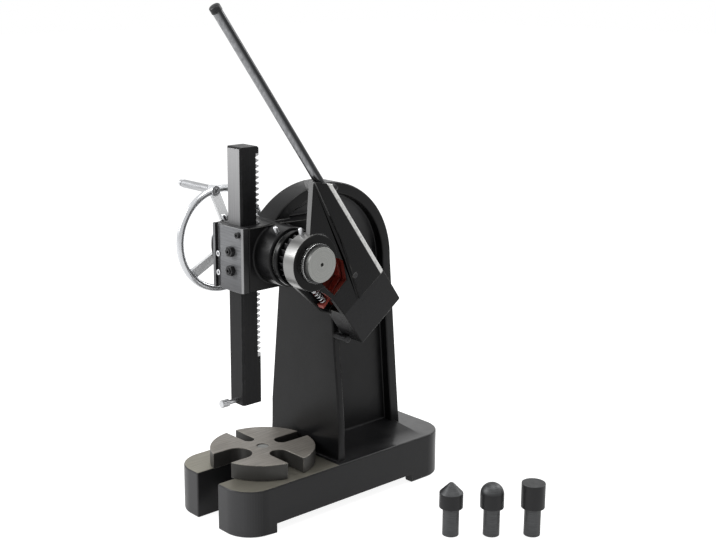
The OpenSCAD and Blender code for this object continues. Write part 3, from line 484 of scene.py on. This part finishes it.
# Painted shade: the outside of the head's rim is painted darkest, as shade on its curve.
rim_start = HEAD_RADIUS - RIM_WIDTH
rim_painted_shade = casting.all_of(
    casting.above(casting.reach(spot, HEAD_CENTRE), rim_start, rim_start + RIM_BLEND),
    casting.above(spot["Z"], 0.40, 0.44),
    casting.above(spot["Y"], 0.02, 0.06))
casting.blend_colour(rim_painted_shade, tone(5, 5, 6))
casting.smudge(0.40)
casting.wear(tone(84, 83, 80), 0.5)

# %% Bare tops of the prongs, varnish behind them
BARE_END = (COLUMN_FRONT - 0.010, COLUMN_FRONT - 0.008)
TOP_DEPTH = 0.0006
facing_up = casting.above(facing["Z"], *SQUARELY)
bare = casting.all_of(
    casting.between(spot["Z"], BASE_TOP - TOP_DEPTH, BASE_TOP + TOP_DEPTH, 0.0001),
    facing_up, casting.below(spot["Y"], *BARE_END))
mill = casting.group(ground, Stretch=(700.0, 22.0, 22.0))["Streak"]
milled = casting.mix(tone(116, 113, 103), tone(156, 153, 142), mill)
# The bare tops grow darker towards the right (+X).
darker_to_right = ramp(casting.tree, spot["X"], -0.02, 0.05, 0.0, 0.5)
casting.blend_colour(bare, casting.mix(milled, tone(70, 68, 60), darker_to_right))
casting.blend_value("rough", bare, 0.46)
casting.blend_value("metal", bare, 0.5)
varnish = casting.all_of(on_base, facing_up, casting.above(spot["Y"], *BARE_END))
casting.feed("Coat Weight", varnish)
casting.shader.inputs["Coat Roughness"].default_value = 0.14
casting.shader.inputs["Coat IOR"].default_value = 1.75
print("casting nodes", len(casting.tree.nodes))

# %% [markdown]
# ### The lever
# The lever leans back by 35.8 degrees, so its masks are measured along it and square to it, from
# the pinion's axis. The pocket between its cheeks is red. The hub's rim is bare. The block and the
# neck's front are painted lighter as painted light, the hub's face is painted darker as painted
# shade, and the upper edge carries a painted highlight.

# %% The lever's own directions
TILT = math.radians(35.8)
ALONG = Vector((0.0, math.cos(TILT), math.sin(TILT)))
UP = Vector((0.0, -math.sin(TILT), math.cos(TILT)))
lever_paint = Finish("lever_paint", tone(6, 6, 7), 0.24, specular=0.12)
lever_paint.skin(0.00008, tone(10, 10, 11))
spot, facing = lever_paint.place()
from_pinion = vector_node(lever_paint.tree, "SUBTRACT", object_spot(lever_paint.tree), PINION)
along = vector_node(lever_paint.tree, "DOT_PRODUCT", from_pinion, ALONG)
up = vector_node(lever_paint.tree, "DOT_PRODUCT", from_pinion, UP)
print("lever leans", round(math.degrees(TILT), 1), "degrees")

# %% Black paint on the lever, red inside
HUB_RADIUS, HUB_START = 0.047, 0.1096
INNER_CHEEK, POCKET_FLOOR, LEVER_FACE = 0.0948, 0.1214, 0.1376
FACE_WALL, CHEEK_SKIN = 0.0060, 0.0006
BLOCK_TOP = -0.118
WINDOW_ALONG, WINDOW_UP = (-0.0135, 0.0495), (-0.0775, -0.0040)
POCKET_ALONG, POCKET_UP = (0.004, 0.0655), (-0.116, -0.004)
# Painted light: the block below BLOCK_TOP is painted a lighter grey, as its face catches more light.
lever_paint.blend_colour(lever_paint.below(up, BLOCK_TOP - 0.002, BLOCK_TOP), tone(29, 29, 30))
lever_paint.smudge(0.36)
lever_paint.wear(tone(120, 118, 114), 0.7)
window = lever_paint.all_of(
    lever_paint.between(spot["X"], INNER_CHEEK - CHEEK_SKIN, LEVER_FACE - FACE_WALL, 0.0003),
    lever_paint.between(along, *WINDOW_ALONG, 0.0004),
    lever_paint.between(up, *WINDOW_UP, 0.0004))
pocket = lever_paint.all_of(
    lever_paint.between(spot["X"], INNER_CHEEK - CHEEK_SKIN, POCKET_FLOOR, 0.0003),
    lever_paint.between(along, *POCKET_ALONG, 0.0005),
    lever_paint.between(up, *POCKET_UP, 0.0005))
lever_paint.blend_colour(math_node(lever_paint.tree, "MAXIMUM", window, pocket), tone(94, 37, 30))

# %% Hub, neck and edge of the lever, with painted light, shade and highlight
HIGHLIGHT_EDGE, HIGHLIGHT_FROM = (0.0925, 0.0938), (0.118, 0.120)
reach = lever_paint.reach(spot, PINION)
sideways = math_node(lever_paint.tree, "ABSOLUTE", facing["X"])
turned_side = lever_paint.below(sideways, 0.3, 0.6)
rim = lever_paint.all_of(
    turned_side,
    lever_paint.between(reach, HUB_RADIUS - 0.0008, HUB_RADIUS + 0.0004, 0.0002),
    lever_paint.above(spot["X"], HUB_START - 0.001, HUB_START))
# Painted light: the neck's front faces are painted light grey, where the key lamp falls on them.
neck_front_painted_light = lever_paint.all_of(
    turned_side,
    lever_paint.below(facing["Y"], -0.93, -0.75),
    lever_paint.above(up, 0.040, 0.044))
# Painted shade: a ring on the hub's outer face is painted near black, as shade around the collar.
hub_face_painted_shade = lever_paint.all_of(
    lever_paint.above(facing["X"], *MOSTLY),
    lever_paint.below(reach, HUB_RADIUS - 0.003, HUB_RADIUS - 0.001),
    lever_paint.above(spot["X"], LEVER_FACE - 0.002, LEVER_FACE - 0.001))
lever_paint.blend_colour(hub_face_painted_shade, tone(2, 2, 2))
lever_paint.blend_colour(rim, tone(128, 128, 127))
lever_paint.blend_value("metal", rim, 0.7)
lever_paint.blend_value("rough", rim, 0.28)
lever_paint.blend_colour(neck_front_painted_light, tone(112, 112, 112))
# Painted highlight: a light strip along the lever's upper rounded edge, broken up a little by noise.
edge_painted_highlight = lever_paint.all_of(
    lever_paint.above(along, *HIGHLIGHT_EDGE),
    lever_paint.above(up, BLOCK_TOP, BLOCK_TOP + 0.002),
    lever_paint.above(facing["X"], 0.05, 0.15),
    lever_paint.above(spot["X"], *HIGHLIGHT_FROM),
    ramp(lever_paint.tree, object_noise(lever_paint.tree, 160.0), 0.25, 0.5, 0.6, 1.0))
lever_paint.blend_colour(edge_painted_highlight, tone(190, 190, 188))
lever_paint.blend_value("metal", edge_painted_highlight, 0.6)
lever_paint.blend_value("rough", edge_painted_highlight, 0.30)
print("lever nodes", len(lever_paint.tree.nodes))

# %% [markdown]
# ### Steel, bronze and chrome
# Bright steel shows the lines of the tool that cut it: straight ones where it was ground and
# rings where it was turned. The ram is black all over, but its front above the housing is bright:
# partly where the gib has rubbed it, partly painted light, which grows lighter towards the top.

# %% Ram
RACK_ROOT, RACK_FROM, RACK_TO = 0.0125, 0.282, 0.628
ram_steel = Finish("ram_steel", tone(17, 17, 18), 0.34, metal=0.2, specular=0.14)
ram_steel.lines((900.0, 900.0, 9.0), tone(27, 27, 28))
spot, facing = ram_steel.place()
streak = ram_steel.group(ground, Stretch=(420.0, 420.0, 5.0))["Streak"]
# Partly steel rubbed by the gib, partly painted light on the front faces only.
rubbed_and_painted_light = ram_steel.all_of(
    ram_steel.below(facing["Y"], -0.97, -0.90),
    ram_steel.above(spot["Z"], 0.40, 0.47),
    ramp(ram_steel.tree, streak, 0.15, 0.6, 0.72, 1.0))
# Painted light: the ram's front grows lighter towards the top.
painted_light_upward = ram_steel.above(spot["Z"], 0.50, 0.63)
ram_steel.blend_colour(rubbed_and_painted_light, ram_steel.mix(tone(112, 112, 113), tone(156, 156, 157), painted_light_upward))
ram_steel.blend_value("metal", rubbed_and_painted_light, 0.75)
ram_steel.blend_value("rough", rubbed_and_painted_light, 0.32)
teeth = ram_steel.all_of(
    ram_steel.above(spot["Y"], RACK_ROOT, RACK_ROOT + 0.0006),
    ram_steel.between(spot["Z"], RACK_FROM, RACK_TO, 0.0005))
ram_steel.blend_colour(teeth, tone(168, 168, 169))
ram_steel.blend_value("metal", teeth, 0.8)
ram_steel.smudge(0.46, 30.0)
ram_steel.wear(tone(112, 112, 113), 0.6, 90.0)

# %% Grey cover
cover_paint = Finish("cover_grey", tone(92, 93, 95), 0.40, metal=0.35, specular=0.35)
cover_paint.lines((22.0, 700.0, 700.0), tone(116, 117, 119), 0.00003)
spot, facing = cover_paint.place()
lower_half = ramp(cover_paint.tree, spot["Z"], 0.402, 0.470, 0.75, 0.0)
cover_paint.blend_colour(lower_half, tone(62, 62, 64))
cover_paint.smudge(0.52, 30.0)
cover_paint.wear(tone(165, 165, 165), 0.7)
# Painted light: the cover's chamfers that face front and right are painted light grey.
chamfer_painted_light = cover_paint.all_of(
    cover_paint.above(facing["X"], 0.3, 0.6), cover_paint.below(facing["Y"], -0.6, -0.3))
cover_paint.blend_colour(chamfer_painted_light, tone(154, 154, 155))
sides = cover_paint.above(facing["Y"], -0.6, -0.4)
cover_paint.blend_colour(sides, tone(26, 26, 27))
cover_paint.blend_value("metal", sides, 0.0)

# %% Plate
plate_iron = Finish("plate_iron", tone(116, 112, 106), 0.42, metal=0.5, specular=0.4)
plate_iron.lines((600.0, 20.0, 20.0), tone(148, 143, 136), 0.00003)
plate_iron.smudge(0.58, 26.0)
_, facing = plate_iron.place()
plate_iron.blend_colour(plate_iron.below(facing["Z"], 0.5, 0.8), tone(54, 53, 51))
plate_iron.wear(tone(166, 162, 152), 0.6)

# %% Turned steel and bronze
shaft_steel = Finish("shaft_steel", tone(112, 113, 111), 0.34, metal=0.8)
shaft_steel.rings(tone(146, 147, 144), 1500.0)
shaft_steel.smudge(0.46, 40.0)
shaft_steel.wear(tone(205, 205, 203), 0.5)

collar_steel = Finish("collar_steel", tone(206, 207, 206), 0.20, metal=0.9)
collar_steel.rings(tone(226, 227, 226), 1500.0)
_, facing = collar_steel.place()
# Painted shade: the collar's face turned along +X is painted dark.
face_painted_shade = collar_steel.above(facing["X"], 0.75, 0.90)
collar_steel.blend_colour(face_painted_shade, tone(44, 44, 45))
collar_steel.blend_value("metal", face_painted_shade, 0.3)
collar_steel.smudge(0.30, 60.0)

bronze = Finish("bronze", tone(150, 112, 58), 0.34, metal=0.9)
bronze.rings(tone(182, 142, 84), 1300.0)
bronze.smudge(0.48, 50.0)

# %% Fasteners and tips
TIP_SHANK = 0.049
bright_steel = Finish("bright_steel", tone(170, 171, 173), 0.24, metal=0.95)
bright_steel.lines((500.0, 500.0, 500.0), tone(205, 206, 208), 0.00001)
bright_steel.smudge(0.36, 60.0)

dark_steel = Finish("black_oxide", tone(28, 28, 29), 0.36, metal=0.3, specular=0.25)
dark_steel.lines((300.0, 300.0, 300.0), tone(42, 42, 44))
dark_steel.smudge(0.5, 40.0)
dark_steel.wear(tone(130, 130, 130), 0.6, 110.0)

tip_steel = Finish("tip_black", tone(60, 61, 62), 0.34, metal=0.35, specular=0.25)
tip_steel.lines((60.0, 60.0, 1400.0), tone(76, 77, 78))
spot, facing = tip_steel.place()
head_wall = tip_steel.all_of(
    tip_steel.above(spot["Z"], TIP_SHANK - 0.001, TIP_SHANK + 0.001),
    tip_steel.below(facing["Z"], 0.15, 0.40))
tip_steel.blend_colour(head_wall, tone(34, 34, 35))
# Painted shade: the tips are painted darker where their surface turns away from the camera.
turned_away = add(tip_steel.tree, "LayerWeight", Blend=0.5).outputs["Facing"]
tip_steel.blend_colour(tip_steel.above(turned_away, 0.30, 0.85), tone(17, 17, 18))
tip_steel.smudge(0.50, 40.0)
tip_steel.wear(tone(96, 96, 97), 0.7, 120.0)

# %% Handwheel, rod and grip
SPOKES_FROM, SPOKES_TO = 0.0215, 0.081
chrome = Finish("chrome", tone(188, 190, 193), 0.22, metal=0.75)
chrome.blend_colour(chrome.group(smudges, Scale=18.0)["Mask"], tone(204, 205, 207))
spot, _ = chrome.place()
# Painted light: the spokes get a lighter, less metallic copy of the chrome, so they stay light in the
# casting's shade.
spokes_painted_light = chrome.between(chrome.reach(spot, PINION), SPOKES_FROM, SPOKES_TO, 0.0005)
chrome.blend_colour(spokes_painted_light, tone(208, 209, 210))
chrome.blend_value("metal", spokes_painted_light, 0.25)
chrome.smudge(0.32, 35.0)

rod_steel = Finish("rod_steel", tone(112, 113, 115), 0.24, metal=0.9)
rod_steel.lines((260.0, 260.0, 30.0), tone(140, 141, 143), 0.00001)
_, facing = rod_steel.place()
# Painted shade: the side of the rod that faces away from the front is painted dark.
rod_steel.blend_colour(rod_steel.above(facing["Y"], -0.58, -0.20), tone(46, 47, 48))
rod_steel.smudge(0.34, 40.0)

grip_steel = Finish("grip_steel", tone(142, 143, 145), 0.26, metal=0.8)
grip_steel.lines((30.0, 400.0, 400.0), tone(170, 171, 173), 0.00001)
grip_steel.smudge(0.36, 40.0)

# %% Red oxide, and the list of finishes
red_oxide = Finish("red_oxide", tone(112, 32, 25), 0.48, specular=0.35)
red_oxide.skin(0.00010, tone(132, 42, 32))
red_oxide.wear(tone(150, 140, 134), 0.7, 90.0)
FINISHES = {
    "casting": casting, "cover": cover_paint, "plate": plate_iron, "ram": ram_steel,
    "shaft": shaft_steel, "fastener": bright_steel, "dark_steel": dark_steel, "bronze": bronze,
    "chrome": chrome, "red": red_oxide, "tip": tip_steel}
print("finishes", sorted(FINISHES))

# %% [markdown]
# ## Softening the CAD pieces
# CAD edges are perfectly sharp, and real ones never are. A copy of each node is merged, its flat
# triangles are dissolved into whole faces, and its sharp edges are bevelled by an amount that
# suits the piece: a few millimetres on a casting, a few tenths on a screw. A bevel can shoot past
# a crowded corner, so any point that leaves the old surface is put back on it.

# %% Softening helpers
SHARP = math.radians(28.0)
FLAT = math.radians(0.5)
SAME_POINT = 2e-6
STRAIGHT = 10.0
PUT_BACK = 0.8


def made_whole(soft):
    """Merges points that coincide, and dissolves flat triangles into whole faces."""
    bmesh.ops.remove_doubles(soft, verts=soft.verts, dist=SAME_POINT)
    bmesh.ops.dissolve_limit(soft, angle_limit=FLAT, verts=soft.verts, edges=soft.edges)
    return soft


def whole_copy(node):
    """A bmesh with the node's shape."""
    soft = bmesh.new()
    soft.from_mesh(frame["nodes"][node].data)
    return made_whole(soft)


def bend_radius(edge, sharp):
    """Radius of the curve that a sharp edge belongs to, from its length and its neighbours' turn."""
    radius = STRAIGHT
    for corner in edge.verts:
        ahead = edge.other_vert(corner).co - corner.co
        turns = [math.pi - ahead.angle(other.other_vert(corner).co - corner.co)
                 for other in corner.link_edges if other in sharp and other is not edge]
        if turns:
            radius = min(radius, ahead.length / max(min(turns), 1e-4))
    return radius


def round_edges(soft, width, segments, least_radius=0.0):
    """Bevels the sharp edges, apart from those of holes below the least radius."""
    edges = [e for e in soft.edges if e.is_manifold and e.calc_face_angle() > SHARP]
    if least_radius:
        sharp = set(edges)
        edges = [e for e in edges if bend_radius(e, sharp) > least_radius]
    before = BVHTree.FromBMesh(soft)
    bmesh.ops.bevel(soft, geom=edges, offset=width, offset_type="OFFSET", affect="EDGES",
                    segments=segments, profile=0.5, material=-1, clamp_overlap=False)
    for corner in soft.verts:
        nearest, _, _, distance = before.find_nearest(corner.co)
        if distance > PUT_BACK * width:
            corner.co = nearest
    bmesh.ops.remove_doubles(soft, verts=soft.verts, dist=SAME_POINT)
    return len(edges)


# %% [markdown]
# The softened copy then stands for its node: it rides on the node's body and takes over its
# material slot. A Weighted Normal modifier keeps the flat faces flat.

# %% Making a piece
SMOOTH = math.radians(50.0)
slot_of = {row["node"]: row["material_slot"] for row in frame["record"]["subparts"]}
body_of = {node: body for body, nodes in frame["record"]["behaviour"]["bodies"].items() for node in nodes}


def settle(soft, name, body, finish, nodes):
    """Makes the bmesh a piece of the object, shaded smooth between its sharp edges."""
    for face in soft.faces:
        face.smooth = True
    for side in soft.edges:
        side.smooth = not side.is_manifold or side.calc_face_angle() < SMOOTH
    piece = make_object(soft, name)
    piece.data.materials.append(finish.material)
    level_normals = piece.modifiers.new("level_normals", "WEIGHTED_NORMAL")
    level_normals.keep_sharp = True
    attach(piece, body)
    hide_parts(*nodes)
    return piece


def soften(node, width, segments=2, finish=None, least_radius=0.0):
    """Puts a softened copy in the place of a node."""
    soft = whole_copy(node)
    count = round_edges(soft, width, segments, least_radius)
    finish = finish or FINISHES[slot_of[node]]
    piece = settle(soft, node + "_soft", body_of[node], finish, [node])
    print(node, "edges", count, "faces", len(piece.data.polygons))


# %% [markdown]
# ### One casting
# The CAD keeps the feet, the base and the column as separate solids, but the real frame is one
# casting. Boolean unions join the copies, and then one bevel rounds the outer edges and fills the
# inner ones with the fillets that a casting has. Small holes stay crisp. A flat face that runs
# round a bore is cut into convex faces first, so that the bevel leaves the bore open.


# %% The frame casting
def joined(*nodes):
    """One bmesh from nodes that touch each other."""
    parts = [make_object(whole_copy(node), node + "_part") for node in nodes]
    for part in parts[1:]:
        union = parts[0].modifiers.new("join", "BOOLEAN")
        union.operation, union.solver, union.object = "UNION", "EXACT", part
    whole = bmesh.new()
    whole.from_object(parts[0], bpy.context.evaluated_depsgraph_get())
    for part in parts:
        bpy.data.objects.remove(part)
    made_whole(whole)
    rings = [face for face in whole.faces
             if not bmesh.geometry.intersect_face_point(face, face.calc_center_median())]
    bmesh.ops.connect_verts_concave(whole, faces=rings)
    print("faces cut into convex ones", len(rings))
    return whole


FRAME_NODES = ("base_casting", "base_feet", "frame_casting")
CASTING_EDGE = 0.0030
SMALL_HOLE = 0.012
whole = joined(*FRAME_NODES)
print("open edges", sum(not e.is_manifold for e in whole.edges))
count = round_edges(whole, CASTING_EDGE, 3, SMALL_HOLE)
frame_piece = settle(whole, "frame_soft", "frame", casting, FRAME_NODES)
print("frame edges", count, "faces", len(frame_piece.data.polygons))

# %% Lever, cover and plate
soften("lever_body", width=0.0022, segments=3, finish=lever_paint, least_radius=SMALL_HOLE)
soften("front_cover", width=0.0009)
soften("anvil_plate", width=0.0012, segments=3)

# %% Steel pieces
SMALL_EDGES = {
    "ram": 0.0005, "pinion_shaft": 0.0004, "ratchet_wheel": 0.0003, "thrust_washer": 0.0005,
    "lever_stop": 0.0008, "anvil_pin": 0.0008, "handwheel": 0.0006, "wheel_washer": 0.0004,
    "wheel_screw": 0.0005, "grip_spindle": 0.0005, "rod_cap": 0.0008, "rod_screw": 0.0005,
    "hub_oiler": 0.0003, "oil_cups": 0.0003, "pawl_pin": 0.0005, "spring_seat": 0.0004,
    "pawl": 0.0006, "ram_thumbscrew": 0.0003, "cover_screws": 0.0004, "gib_screws": 0.0004,
    "gib_nuts": 0.0005, "cover_bolt": 0.0004, "pointed_tip": 0.0008, "round_tip": 0.0008,
    "flat_tip": 0.0008}
for node, width in SMALL_EDGES.items():
    soften(node, width)
soften("lever_rod", width=0.0006, finish=rod_steel)
soften("crank_grip", width=0.001, segments=3, finish=grip_steel)
soften("retaining_collar", width=0.0006, finish=collar_steel)

# %% [markdown]
# ### Pawl spring
# A wound spring is a circle carried round an axis while it climbs. The spin operator does both at
# once when it is given a step along the axis. The first and last curls climb by little more than
# one wire, as the closed ends of a real spring do.

# %% Pawl spring
WIRE, COIL = 0.002, 0.009
WIRE_SIDES, CURL_STEPS, OPEN_CURLS = 12, 28, 4
END_CLIMB = 1.02 * WIRE
SIDE = Vector((1.0, 0.0, 0.0))
SPRING_AT = PINION + 0.1022 * SIDE
foot = SPRING_AT - 0.008 * ALONG - 0.091 * UP
head = SPRING_AT - 0.013 * ALONG - 0.058 * UP
rise = (head - foot).length - WIRE
coil = bmesh.new()
bmesh.ops.create_circle(coil, segments=WIRE_SIDES, radius=WIRE / 2)
bmesh.ops.rotate(coil, verts=coil.verts, matrix=Matrix.Rotation(math.pi / 2, 3, "X"))
bmesh.ops.translate(coil, verts=coil.verts, vec=(COIL / 2, 0.0, WIRE / 2))
first = list(coil.edges)
last = list(coil.verts) + first
for curls, climb in ((1, END_CLIMB), (OPEN_CURLS, rise - 2 * END_CLIMB), (1, END_CLIMB)):
    steps = curls * CURL_STEPS
    last = bmesh.ops.spin(coil, geom=last, axis=(0.0, 0.0, 1.0), dvec=(0.0, 0.0, climb / steps),
                          angle=math.tau * curls, steps=steps)["geom_last"]
bmesh.ops.edgeloop_fill(coil, edges=first)
bmesh.ops.edgeloop_fill(coil, edges=[item for item in last if isinstance(item, bmesh.types.BMEdge)])
bmesh.ops.recalc_face_normals(coil, faces=coil.faces)
axis = (head - foot).normalized()
across = axis.cross(SIDE).normalized()
stand = Matrix((SIDE, across, axis)).transposed().to_4x4()
stand.translation = foot
bmesh.ops.transform(coil, matrix=stand, verts=coil.verts)
print("spring faces", len(coil.faces))
settle(coil, "pawl_spring_coil", body_of["pawl_spring"], bright_steel,
       ["pawl_spring"])

# %% Hidden pieces keep their CAD shape
HIDDEN = ("gib_strip", "bush_right", "bush_left", "ratchet_key", "wheel_key", "collar_screw")
for node in HIDDEN:
    item = frame["nodes"][node]
    item.data.materials.clear()
    item.data.materials.append(FINISHES[slot_of[node]].material)
print("hidden pieces", len(HIDDEN))
